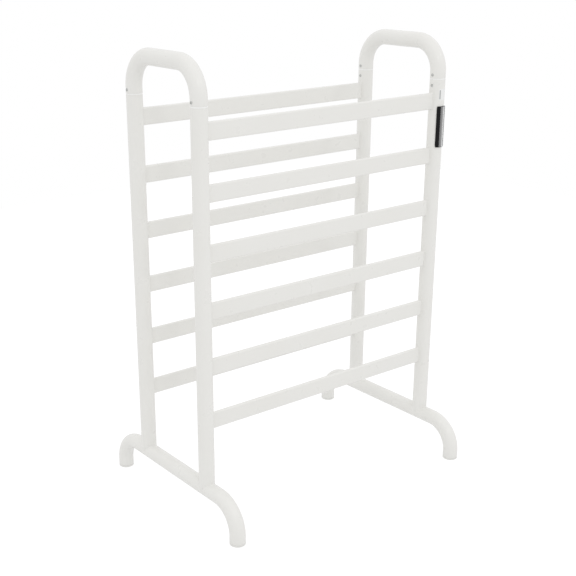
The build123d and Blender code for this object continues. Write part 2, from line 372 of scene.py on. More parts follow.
@dataclass(frozen=True)
class PolishedLens(Finish):
    """Black polished plastic: almost a mirror, with faint smudges, dust and hairline marks."""

    smudge_shade: Colour = (0.006, 0.006, 0.007)
    gloss: tuple[float, float] = (0.05, 0.12)
    smudge_size: float = 9.0 * MILLIMETRE
    ripple_size: float = 16.0 * MILLIMETRE
    ripple_depth: float = 0.02 * MILLIMETRE
    hairline_size: float = 0.25 * MILLIMETRE
    hairline_depth: float = 0.002 * MILLIMETRE
    specular: float = 0.18

    def paint(self, sheet: ShaderSheet) -> None:
        """Smudges in colour and roughness, hairlines and a slight ripple in the relief.

        Args:
            sheet: The sheet that gets the nodes.
        """
        smudge = sheet.noise(self.smudge_size, detail=5.0, roughness=0.6)
        sheet.feed(Base_Color=sheet.mixed(sheet.spread(smudge, 0.0, 1.0), self.shade, self.smudge_shade))
        sheet.feed(Roughness=sheet.spread(smudge, *self.gloss))
        ripple = sheet.relief(sheet.noise(self.ripple_size, detail=1.0, shift=0.9), self.ripple_depth)
        hairline = sheet.noise(self.hairline_size, detail=1.0, stretch=(1.0, 1.0, 26.0))
        lines = sheet.spread(hairline, 0.0, 1.0, 0.74, 0.8)
        sheet.feed(Normal=sheet.relief(lines, self.hairline_depth, ripple))
        sheet.feed(Specular_IOR_Level=self.specular)


@dataclass(frozen=True)
class PlatedSteel(Finish):
    """Zinc-plated steel with a turned grain and a cloudy passivated film."""

    film_shade: Colour = (0.5, 0.5, 0.46)
    gloss: tuple[float, float] = (0.28, 0.45)
    film_size: float = 2.4 * MILLIMETRE
    handling_size: float = 0.9 * MILLIMETRE
    grain_size: float = 0.22 * MILLIMETRE
    grain_depth: float = 0.008 * MILLIMETRE

    def paint(self, sheet: ShaderSheet) -> None:
        """Film in the colour, tool marks in the relief and handling marks in the roughness.

        Args:
            sheet: The sheet that gets the nodes.
        """
        film = sheet.spread(sheet.noise(self.film_size, detail=4.0), 0.0, 1.0)
        sheet.feed(Base_Color=sheet.mixed(film, self.shade, self.film_shade))
        handled = sheet.noise(self.handling_size, detail=3.0, shift=1.1)
        sheet.feed(Roughness=sheet.spread(handled, *self.gloss))
        grain = sheet.noise(self.grain_size, detail=2.0)
        sheet.feed(Normal=sheet.relief(grain, self.grain_depth))
        sheet.feed(Metallic=1.0)


@dataclass(frozen=True)
class Sheathing(Finish):
    """Extruded cable insulation: matt, with fine draw lines and a dusting of talc."""

    talc_shade: Colour = (0.7, 0.68, 0.65)
    talc_share: float = 0.25
    talc_size: float = 3.0 * MILLIMETRE
    wear_size: float = 4.0 * MILLIMETRE
    draw_size: float = 0.5 * MILLIMETRE
    draw_depth: float = 0.02 * MILLIMETRE

    def paint(self, sheet: ShaderSheet) -> None:
        """Talc in the colour, draw lines in the relief and a velvety edge.

        Args:
            sheet: The sheet that gets the nodes.
        """
        talc = sheet.spread(sheet.noise(self.talc_size, detail=5.0), 0.0, self.talc_share, 0.45, 0.7)
        sheet.feed(Base_Color=sheet.mixed(talc, self.shade, self.talc_shade))
        sheet.feed(Roughness=sheet.spread(sheet.noise(self.wear_size, detail=3.0, shift=0.8), 0.5, 0.7))
        draw = sheet.noise(self.draw_size, detail=2.0, stretch=(8.0, 8.0, 1.0))
        sheet.feed(Normal=sheet.relief(draw, self.draw_depth))
        sheet.feed(Sheen_Weight=0.15)


@dataclass(frozen=True)
class SolderMask(Finish):
    """A circuit board's lacquer over copper tracks and a woven glass base."""

    track_shade: Colour = (0.05, 0.26, 0.13)
    weave_size: float = 0.7 * MILLIMETRE
    weave_depth: float = 0.01 * MILLIMETRE
    track_pitch: float = 3.2 * MILLIMETRE
    track_depth: float = 0.035 * MILLIMETRE
    lacquer_size: float = 6.0 * MILLIMETRE

    def paint(self, sheet: ShaderSheet) -> None:
        """Tracks as blocky cells in the colour, their height and the weave in the relief.

        Args:
            sheet: The sheet that gets the nodes.
        """
        grid = {"Vector": sheet.place, "Scale": 1.0 / self.track_pitch}
        cells = sheet.add("ShaderNodeTexVoronoi", grid, feature="DISTANCE_TO_EDGE", distance="EUCLIDEAN")
        tracks = sheet.spread(cells.outputs["Distance"], 1.0, 0.0, 0.05, 0.09)
        sheet.feed(Base_Color=sheet.mixed(tracks, self.shade, self.track_shade))
        sheet.feed(Roughness=sheet.spread(sheet.noise(self.lacquer_size, detail=2.0), 0.22, 0.34))
        weave = sheet.relief(sheet.noise(self.weave_size, detail=1.0), self.weave_depth)
        sheet.feed(Normal=sheet.relief(tracks, self.track_depth, weave))


POWDER_COAT = PowderCoat("powder_coat_warm_white", (0.870, 0.864, 0.836))
COLLAR_PLASTIC = MouldedPlastic(
    "collar_plastic",
    (0.97, 0.97, 0.96),
    second_shade=(0.95, 0.95, 0.935),
    matt=(0.24, 0.34),
    grain_size=0.6 * MILLIMETRE,
    grain_depth=0.008 * MILLIMETRE,
)
SHOE_PLASTIC = MouldedPlastic("shoe_plastic", (0.82, 0.816, 0.79), (0.78, 0.775, 0.745), (0.42, 0.56))
FILM_WHITE = MouldedPlastic(
    "film_white",
    (0.92, 0.925, 0.92),
    second_shade=(0.90, 0.90, 0.89),
    matt=(0.12, 0.2),
    grain_size=1.2 * MILLIMETRE,
    grain_depth=0.002 * MILLIMETRE,
)
BAR_GREY = MouldedPlastic("bar_grey", (0.42, 0.43, 0.43), (0.50, 0.51, 0.50), (0.3, 0.4))
GLAND_NYLON = MouldedPlastic("gland_nylon", (0.74, 0.735, 0.71), (0.70, 0.69, 0.66), (0.32, 0.45))
TERMINAL_NYLON = MouldedPlastic("terminal_nylon", (0.52, 0.53, 0.51), (0.46, 0.47, 0.45), (0.35, 0.5))
RELAY_CASE = MouldedPlastic("relay_case", (0.025, 0.025, 0.03), (0.04, 0.04, 0.045), (0.22, 0.34))
LED_RESIN = MouldedPlastic("led_resin", (0.82, 0.78, 0.55), (0.88, 0.85, 0.66), (0.1, 0.2))
LENS_BLACK = PolishedLens("lens_black", (0.003, 0.003, 0.0035))
BRIGHT_ZINC = PlatedSteel("bright_zinc", (0.62, 0.63, 0.65), (0.55, 0.56, 0.52))
SILICONE_RED = Sheathing("silicone_red", (0.40, 0.045, 0.035))
LEAD_WHITE = Sheathing("lead_white", (0.66, 0.65, 0.62), (0.8, 0.79, 0.77))
BOARD_GREEN = SolderMask("board_green", (0.02, 0.15, 0.07))


# ---- Mesh making -----------------------------------------------------------------------------


def mark_edges(mesh: bpy.types.Mesh, limit: float = SHARP_EDGE) -> None:
    """Shade a mesh smooth, except across edges that turn by more than a limit.

    Args:
        mesh: The mesh to change.
        limit: The turn, in radians.
    """
    work = bmesh.new()
    work.from_mesh(mesh)
    for face in work.faces:
        face.smooth = True
    for edge in work.edges:
        edge.smooth = len(edge.link_faces) == 2 and edge.calc_face_angle(0.0) < limit
    work.to_mesh(mesh)
    work.free()


def cleaned(mesh: bpy.types.Mesh, merge: bool = True, outwards: bool = True) -> None:
    """Merge a mesh's doubles and turn its faces outwards.

    Args:
        mesh: The mesh to change.
        merge: Whether doubles are merged.
        outwards: Whether the normals of its closed skins are recalculated.
    """
    work = bmesh.new()
    work.from_mesh(mesh)
    if merge:
        bmesh.ops.remove_doubles(work, verts=work.verts, dist=MERGE_DISTANCE)
    if outwards:
        bmesh.ops.recalc_face_normals(work, faces=work.faces)
    work.to_mesh(mesh)
    work.free()


def new_piece(
    name: str,
    vertices: Sequence[Sequence[float]],
    faces: Sequence[Sequence[int]],
    finish: Finish,
    outwards: bool = False,
) -> bpy.types.Object:
    """Make an object from vertices and faces, with its places in the mesh.

    Args:
        name: The piece's name.
        vertices: Places in the frame.
        faces: Indices of each face's corners.
        finish: What it is finished with.
        outwards: Recalculates the normals of one closed skin.

    Returns:
        The linked object.
    """
    mesh = bpy.data.meshes.new(name)
    mesh.from_pydata([tuple(vertex) for vertex in vertices], [], [tuple(face) for face in faces])
    cleaned(mesh, outwards=outwards)
    mark_edges(mesh)
    mesh.materials.append(finish.material())
    piece = bpy.data.objects.new(name, mesh)
    bpy.context.scene.collection.objects.link(piece)
    return piece


def flatten(piece: bpy.types.Object) -> bpy.types.Object:
    """Turn a piece's modifiers into its mesh.

    Args:
        piece: An object with modifiers.

    Returns:
        The same object, with a plain mesh and no modifiers.
    """
    bpy.context.view_layer.update()
    graph = bpy.context.evaluated_depsgraph_get()
    mesh = bpy.data.meshes.new_from_object(piece.evaluated_get(graph))
    mesh.name = piece.name
    piece.modifiers.clear()
    piece.data = mesh
    return piece


def ring_faces(rings: int, count: int, closed: bool = False) -> list[list[int]]:
    """Join rings of equally many points into a skin.

    Args:
        rings: How many rings there are.
        count: How many points each has.
        closed: Joins the last ring to the first.

    Returns:
        The faces' corners.
    """
    faces = []
    for row in range(rings if closed else rings - 1):
        low, high = row * count, (row + 1) % rings * count
        for step in range(count):
            after = (step + 1) % count
            faces.append([low + step, low + after, high + after, high + step])
    return faces


def arc(
    turns: Sequence[float],
    radius: float,
    height: float,
    outward: float,
    upward: float,
) -> list[tuple[float, float]]:
    """Rings round a rounded edge, a quarter circle or part of one.

    Args:
        turns: Each ring's place on the arc, in degrees.
        radius: The arc's centre, from the axis.
        height: The arc's centre, along the axis.
        outward: The reach away from the axis, which goes with the sine.
        upward: The reach along the axis, which goes with the cosine.

    Returns:
        (radius, height) of each ring.
    """
    angles = [math.radians(turn) for turn in turns]
    return [(radius + outward * math.sin(angle), height + upward * math.cos(angle)) for angle in angles]


def turned(
    rings: Sequence[Ring],
    origin: Vector,
    axis: Vector,
    segments: int = 72,
    closed: bool = False,
) -> tuple[list[Vector], list[list[int]]]:
    """Stack rings along an axis and skin them.

    Args:
        rings: (radius, height) of each ring. A radius may depend on the angle, and 0 is a pole.
        origin: Where height 0 is.
        axis: The direction of height.
        segments: How many faces go round.
        closed: Joins the last ring to the first, as in a ring-shaped piece.

    Returns:
        The vertices and the faces.
    """
    across = axis.orthogonal().normalized()
    beside = axis.cross(across).normalized()
    vertices: list[Vector] = []
    for radius, height in rings:
        for step in range(segments):
            angle = math.tau * step / segments
            reach = radius(angle) if callable(radius) else radius
            direction = math.cos(angle) * across + math.sin(angle) * beside
            vertices.append(origin + height * axis + reach * direction)
    return vertices, ring_faces(len(rings), segments, closed)


def rounded_outline(width: float, height: float, corner: float, steps: int = 7) -> list[tuple[float, float]]:
    """A rectangle with round corners, with a supporting point beside each end of each arc.

    Args:
        width: Its size along the first axis.
        height: Its size along the second.
        corner: The corners' radius.
        steps: How many faces each corner has.

    Returns:
        Its points, anticlockwise.
    """
    support = min(0.5 * MILLIMETRE, (min(width, height) / 2 - corner) * 0.5)
    points = []
    for quarter in range(4):
        middle = math.pi / 4 + quarter * math.pi / 2
        centre_u = math.copysign(width / 2 - corner, math.cos(middle))
        centre_v = math.copysign(height / 2 - corner, math.sin(middle))
        start = quarter * math.pi / 2
        bend = [
            (
                centre_u + corner * math.cos(start + step / steps * math.pi / 2),
                centre_v + corner * math.sin(start + step / steps * math.pi / 2),
            )
            for step in range(steps + 1)
        ]
        along = (math.sin(start), -math.cos(start))
        before = (bend[0][0] + support * along[0], bend[0][1] + support * along[1])
        onward = (bend[-1][0] - support * math.cos(start), bend[-1][1] - support * math.sin(start))
        points += [before, *bend, onward]
    return points


def hand_over(piece: bpy.types.Object, slot: Slot, *nodes: str) -> None:
    """Put a finished piece on the frame and report it.

    Args:
        piece: The piece, in place.
        slot: The record's slot for its finish. Not used.
        *nodes: The nodes that it stands for.
    """
    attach(piece, BODY)
    if nodes:
        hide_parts(*nodes)
    piece.data.calc_loop_triangles()
    log.info("%s: %d triangles, for %s", piece.name, len(piece.data.loop_triangles), nodes or "itself")


# ---- Geometry node recipes -------------------------------------------------------------------


class Recipe:
    """A geometry node tree with named inputs, built a node at a time."""

    def __init__(self, name: str) -> None:
        """Start a tree that takes and gives geometry.

        Args:
            name: The tree's name.
        """
        self.tree = bpy.data.node_groups.new(name, "GeometryNodeTree")
        self.tree.interface.new_socket("Geometry", in_out="INPUT", socket_type="NodeSocketGeometry")
        self.tree.interface.new_socket("Geometry", in_out="OUTPUT", socket_type="NodeSocketGeometry")
        self.identifiers: dict[str, str] = {}
        self.source = self.add("NodeGroupInput")
        self.base = self.source.outputs["Geometry"]

    def add(self, kind: str, inputs: Inputs | None = None, **settings: object) -> bpy.types.Node:
        """Add a node to the recipe, as wired does."""
        return wired(self.tree, kind, inputs or {}, **settings)

    def size(self, name: str, kind: str = "NodeSocketFloat") -> bpy.types.NodeSocket:
        """Add a named input to the tree.

        Args:
            name: What the input is called.
            kind: Its socket type.

        Returns:
            The socket that gives its value inside the tree.
        """
        item = self.tree.interface.new_socket(name, in_out="INPUT", socket_type=kind)
        self.identifiers[name] = item.identifier
        return self.source.outputs[name]

    def math(self, operation: str, *values: object) -> bpy.types.NodeSocket:
        """Add one sum.

        Args:
            operation: The Math node's operation.
            *values: Its inputs, as sockets or numbers.

        Returns:
            The result.
        """
        return self.add("ShaderNodeMath", dict(enumerate(values)), operation=operation).outputs[0]

    def finish(self, geometry: bpy.types.NodeSocket, finish: Finish) -> None:
        """End the tree in real, dressed geometry.

        Args:
            geometry: What the tree has made.
            finish: The finish that all of it gets.
        """
        real = self.add("GeometryNodeRealizeInstances", {"Geometry": geometry})
        dressed = self.add(
            "GeometryNodeSetMaterial",
            {"Geometry": real.outputs["Geometry"], "Material": finish.material()},
        )
        self.add("NodeGroupOutput", {"Geometry": dressed.outputs["Geometry"]})

    def make(
        self, name: str, seeds: bpy.types.Mesh, values: dict[str, object], finish: Finish
    ) -> bpy.types.Object:
        """Run the tree on a mesh and keep the result as a plain piece.

        Args:
            name: The piece's name.
            seeds: The mesh that the tree starts from.
            values: A value for each named input.
            finish: The finish that the tree sets.

        Returns:
            The piece, with no modifier on it.
        """
        piece = bpy.data.objects.new(name, seeds)
        bpy.context.scene.collection.objects.link(piece)
        modifier = piece.modifiers.new(name, "NODES")
        modifier.node_group = self.tree
        for key, value in values.items():
            modifier[self.identifiers[key]] = value
        flatten(piece)
        if not piece.data.materials:
            piece.data.materials.append(finish.material())
        return piece


def seed_points(name: str, places: Iterable[Sequence[float]], chained: bool = False) -> bpy.types.Mesh:
    """A mesh of bare points, or of one open chain of edges, for a recipe to start from.

    Args:
        name: The mesh's name.
        places: Where the points are.
        chained: Joins each point to the next.

    Returns:
        The mesh.
    """
    points = [tuple(place) for place in places]
    edges = [(index, index + 1) for index in range(len(points) - 1)] if chained else []
    mesh = bpy.data.meshes.new(name)
    mesh.from_pydata(points, edges, [])
    return mesh


def bent_tube_recipe(finish: Finish) -> Recipe:
    """A round tube swept along a chain of straight runs with round bends.

    Args:
        finish: The tube's finish.

    Returns:
        The recipe, with inputs Bend Radius, Bend Steps, Tube Radius and Sides.
    """
    recipe = Recipe("bent_tube")
    path = recipe.add("GeometryNodeMeshToCurve", {"Mesh": recipe.base})
    bent = recipe.add(
        "GeometryNodeFilletCurve",
        {
            "Curve": path.outputs["Curve"],
            "Count": recipe.size("Bend Steps", "NodeSocketInt"),
            "Radius": recipe.size("Bend Radius"),
        },
        mode="POLY",
    )
    section = recipe.add(
        "GeometryNodeCurvePrimitiveCircle",
        {"Resolution": recipe.size("Sides", "NodeSocketInt"), "Radius": recipe.size("Tube Radius")},
        mode="RADIUS",
    )
    tube = recipe.add(
        "GeometryNodeCurveToMesh",
        {"Curve": bent.outputs["Curve"], "Profile Curve": section.outputs["Curve"]},
    )
    recipe.finish(tube.outputs["Mesh"], finish)
    return recipe


def bead_from(
    recipe: Recipe,
    loops: bpy.types.NodeSocket,
    strength: bpy.types.NodeSocket | float,
) -> bpy.types.NodeSocket:
    """Lay a slightly uneven bead along closed curves.

    Args:
        recipe: The tree that gets the nodes.
        loops: The realised curves.
        strength: The bead's radius at each point, before its unevenness.

    Returns:
        The bead's mesh.
    """
    ripple = recipe.add(
        "ShaderNodeTexNoise",
        {"Scale": RIPPLE_SCALE, "Detail": 1.0, "W": recipe.size("Seed")},
        noise_dimensions="4D",
    )
    uneven = recipe.math("MULTIPLY_ADD", ripple.outputs[0], RIPPLE_SHARE, 1.0 - RIPPLE_SHARE / 2)
    radius = recipe.math("MULTIPLY", strength, uneven)
    section = recipe.add(
        "GeometryNodeCurvePrimitiveCircle",
        {"Resolution": BEAD_SIDES, "Radius": 1.0},
        mode="RADIUS",
    )
    bead = recipe.add(
        "GeometryNodeCurveToMesh",
        {"Curve": loops, "Profile Curve": section.outputs["Curve"], "Scale": radius},
    )
    return bead.outputs["Mesh"]


def rail_weld_recipe(finish: Finish) -> Recipe:
    """Coated weld beads where rails enter one side's uprights.

    Each seed point is where a rail's middle line crosses an upright's axis. The bead follows the
    rail's outline, wrapped on the round of the tube.

    Args:
        finish: The coat over the beads.

    Returns:
        The recipe, with inputs for the rail, the tube, the bead and the way the rail runs.
    """
    recipe = Recipe("rail_welds")
    outline = recipe.add(
        "GeometryNodeCurvePrimitiveQuadrilateral",
        {"Width": recipe.size("Rail Thickness"), "Height": recipe.size("Rail Depth")},
        mode="RECTANGLE",
    )
    rounded = recipe.add(
        "GeometryNodeFilletCurve",
        {"Curve": outline.outputs["Curve"], "Count": 8, "Radius": recipe.size("Rail Corner")},
        mode="POLY",
    )
    even = recipe.add(
        "GeometryNodeResampleCurve",
        {"Curve": rounded.outputs["Curve"], "Length": recipe.size("Step")},
        mode="LENGTH",
    )
    flat = recipe.add("ShaderNodeSeparateXYZ", {0: recipe.add("GeometryNodeInputPosition").outputs[0]})
    tube = recipe.size("Tube Radius")
    squares = recipe.math(
        "SUBTRACT",
        recipe.math("MULTIPLY", tube, tube),
        recipe.math("MULTIPLY", flat.outputs["X"], flat.outputs["X"]),
    )
    reach = recipe.math("MULTIPLY", recipe.math("SQRT", squares), recipe.size("Inward"))
    wrapped = recipe.add(
        "ShaderNodeCombineXYZ", {"X": reach, "Y": flat.outputs["X"], "Z": flat.outputs["Y"]}
    )
    placed = recipe.add(
        "GeometryNodeSetPosition",
        {"Geometry": even.outputs["Curve"], "Position": wrapped.outputs[0]},
    )
    copies = recipe.add(
        "GeometryNodeInstanceOnPoints",
        {"Points": recipe.base, "Instance": placed.outputs["Geometry"]},
    )
    loops = recipe.add("GeometryNodeRealizeInstances", {"Geometry": copies.outputs[0]})
    recipe.finish(bead_from(recipe, loops.outputs[0], recipe.size("Bead")), finish)
    return recipe


def saddle_weld_recipe(finish: Finish) -> Recipe:
    """Coated weld beads where coped uprights stand astride a tube of their own size.

    Each seed point is where an upright's axis crosses its base tube's. The bead dies away at
    the two sides, where the surfaces run into each other.

    Args:
        finish: The coat over the beads.

    Returns:
        The recipe, with inputs Tube Radius, Bead and Seed.
    """
    recipe = Recipe("saddle_welds")
    tube = recipe.size("Tube Radius")
    bead = recipe.size("Bead")
    sunk = recipe.math("MULTIPLY_ADD", bead, -SADDLE_SUNK, tube)
    ring = recipe.add(
        "GeometryNodeCurvePrimitiveCircle", {"Resolution": SADDLE_STEPS, "Radius": sunk}, mode="RADIUS"
    )
    flat = recipe.add("ShaderNodeSeparateXYZ", {0: recipe.add("GeometryNodeInputPosition").outputs[0]})
    height = recipe.math("ABSOLUTE", flat.outputs["Y"])
    lifted = recipe.add("ShaderNodeCombineXYZ", {"Z": height})
    saddle = recipe.add(
        "GeometryNodeSetPosition", {"Geometry": ring.outputs["Curve"], "Offset": lifted.outputs[0]}
    )
    share = recipe.math("DIVIDE", height, tube)
    fade = recipe.math("MULTIPLY_ADD", share, 1.0 - THINNEST_BEAD, THINNEST_BEAD)
    kept = recipe.add(
        "GeometryNodeCaptureAttribute",
        {"Geometry": saddle.outputs["Geometry"]},
        domain="POINT",
    )
    kept.capture_items.new("FLOAT", "Fade")
    recipe.tree.links.new(fade, kept.inputs["Fade"])
    copies = recipe.add(
        "GeometryNodeInstanceOnPoints",
        {"Points": recipe.base, "Instance": kept.outputs["Geometry"]},
    )
    loops = recipe.add("GeometryNodeRealizeInstances", {"Geometry": copies.outputs[0]})
    strength = recipe.math("MULTIPLY", bead, kept.outputs["Fade"])
    recipe.finish(bead_from(recipe, loops.outputs[0], strength), finish)
    return recipe


def screw_recipe(finish: Finish) -> Recipe:
    """One screw, copied to each seed point and turned to face along its facing attribute.

    Args:
        finish: The screws' finish.

    Returns:
        The recipe, with inputs Screw and Seed.
    """
    recipe = Recipe("seam_screws")
    screw = recipe.add(
        "GeometryNodeObjectInfo", {"Object": recipe.size("Screw", "NodeSocketObject")}
    )
    facing = recipe.add("GeometryNodeInputNamedAttribute", {"Name": "facing"}, data_type="FLOAT_VECTOR")
    aimed = recipe.add(
        "FunctionNodeAlignRotationToVector", {"Vector": facing.outputs["Attribute"]}, axis="Z"
    )
    chance = recipe.add(
        "FunctionNodeRandomValue",
        {2: 0.0, 3: math.pi / 3, "Seed": recipe.size("Seed", "NodeSocketInt")},
        data_type="FLOAT",
    )
    about_itself = {"Axis": (0.0, 0.0, 1.0), "Angle": chance.outputs[1]}
    spin = recipe.add("FunctionNodeAxisAngleToRotation", about_itself)
    posed = recipe.add(
        "FunctionNodeRotateRotation",
        {"Rotation": aimed.outputs[0], "Rotate By": spin.outputs[0]},
        rotation_space="LOCAL",
    )
    copies = recipe.add(
        "GeometryNodeInstanceOnPoints",
        {"Points": recipe.base, "Instance": screw.outputs["Geometry"], "Rotation": posed.outputs[0]},
    )
    recipe.finish(copies.outputs[0], finish)
    return recipe


# ---- What the frame says ----------------------------------------------------------------------


@dataclass(frozen=True)
class RackLines:
    """The rack's axes and levels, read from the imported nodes' boxes."""

    half_width: float
    half_depth: float
    tube: float
    loop_axis: float
    loop_bottom: float
    upright_top: float
    base_axis: float
    foot_reach: float
    foot_top: float
    rails: tuple[float, ...]
    rail_depth: float
    rail_thickness: float
    rail_reach: float

    @classmethod
    def from_frame(cls) -> "RackLines":
        """Returns:
            The rack's lines.
        """
        loop_low, loop_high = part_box("right_loop")
        base_low, base_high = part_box("base_tube_right")
        tube = (loop_high.x - loop_low.x) / 2
        rail_boxes = [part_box(f"rail_front_{number}") for number in range(1, 7)]
        rail_low, rail_high = rail_boxes[0]
        return cls(
            half_width=(loop_high.x + loop_low.x) / 2,
            half_depth=loop_high.y - tube,
            tube=tube,
            loop_axis=loop_high.z - tube,
            loop_bottom=loop_low.z,
            upright_top=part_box("upright_front_left")[1].z,
            base_axis=base_high.z - tube,
            foot_reach=base_high.y - tube,
            foot_top=base_low.z,
            rails=tuple((low.z + high.z) / 2 for low, high in rail_boxes),
            rail_depth=rail_high.z - rail_low.z,
            rail_thickness=rail_high.y - rail_low.y,
            rail_reach=rail_high.x,
        )

    def leg(self, side: Side, face: Face, height: float = 0.0) -> Vector:
        """A point on one upright's axis."""
        return Vector((side.value * self.half_width, face.value * self.half_depth, height))


# ---- Sub-assemblies ---------------------------------------------------------------------------


@dataclass(frozen=True)
class BentTubes:
    """The carrying loops and the base tubes: one tube each, bent twice."""

    lines: RackLines
    wall: float = 1.2 * MILLIMETRE
    bend_radius: float = 60.0 * MILLIMETRE
    bend_steps: int = 28
    sides: int = 96
    rim_round: float = 0.35 * MILLIMETRE
    access_radius: float = 7.8 * MILLIMETRE

    def make(self, recipe: Recipe, name: str, places: list[Point], holes: list[Vector]) -> bpy.types.Object:
        """Sweep one tube, give it its wall and drill it.

        Args:
            recipe: The bent tube recipe.
            name: The piece's name.
            places: The corners of its centre line.
            holes: Where drills come up through its lower wall.

        Returns:
            The tube.
        """
        values = {
            "Bend Radius": self.bend_radius,
            "Bend Steps": self.bend_steps,
            "Tube Radius": self.lines.tube,
            "Sides": self.sides,
        }
        piece = recipe.make(name, seed_points(name, places, chained=True), values, POWDER_COAT)
        cleaned(piece.data)
        wall = piece.modifiers.new("wall", "SOLIDIFY")
        wall.thickness = self.wall
        wall.offset = -1.0
        rim = piece.modifiers.new("rim", "BEVEL")
        rim.width = self.rim_round
        rim.segments = 3
        rim.angle_limit = math.radians(60.0)
        drills = [self.drill(f"{name}_drill_{index}", place) for index, place in enumerate(holes)]
        for drill in drills:
            cut = piece.modifiers.new("hole", "BOOLEAN")
            cut.operation = "DIFFERENCE"
            cut.object = drill
        flatten(piece)
        for drill in drills:
            bpy.data.objects.remove(drill)
        mark_edges(piece.data)
        return piece

    def drill(self, name: str, place: Vector) -> bpy.types.Object:
        """The drill for one access hole, from under the tube up to its axis.

        Args:
            name: What the drill is called.
            place: The hole's place on the tube's axis.

        Returns:
            The drill, which is removed after the cut.
        """
        rings: list[Ring] = [(0.0, -2 * self.lines.tube), (self.access_radius, -2 * self.lines.tube)]
        rings += [(self.access_radius, 0.0), (0.0, 0.0)]
        vertices, faces = turned(rings, place, UP, segments=48)
        return new_piece(name, vertices, faces, POWDER_COAT, outwards=True)

    def loop(self, recipe: Recipe, side: Side) -> None:
        """Make and hand over one side's carrying loop.

        Args:
            recipe: The bent tube recipe.
            side: The end frame that it belongs to.
        """
        x, y = side.value * self.lines.half_width, self.lines.half_depth
        low, high = self.lines.loop_bottom, self.lines.loop_axis
        places = [(x, -y, low), (x, -y, high), (x, y, high), (x, y, low)]
        piece = self.make(recipe, f"carry_loop_{side.word}", places, [])
        hand_over(piece, Slot.POWDER_COAT, f"{side.word}_loop")

    def base(self, recipe: Recipe, side: Side) -> None:
        """Make and hand over one side's base tube.

        Args:
            recipe: The bent tube recipe.
            side: The end frame that it belongs to.
        """
        x, y = side.value * self.lines.half_width, self.lines.foot_reach
        low, high = self.lines.foot_top, self.lines.base_axis
        places = [(x, -y, low), (x, -y, high), (x, y, high), (x, y, low)]
        holes = [self.lines.leg(side, face, high) for face in Face]
        piece = self.make(recipe, f"foot_tube_{side.word}", places, holes)
        hand_over(piece, Slot.POWDER_COAT, f"base_tube_{side.word}")


@dataclass(frozen=True)
class Window:
    """An opening in an upright's wall, square to the direction that it faces."""

    bearing: float
    half_width: float
    low: float
    high: float


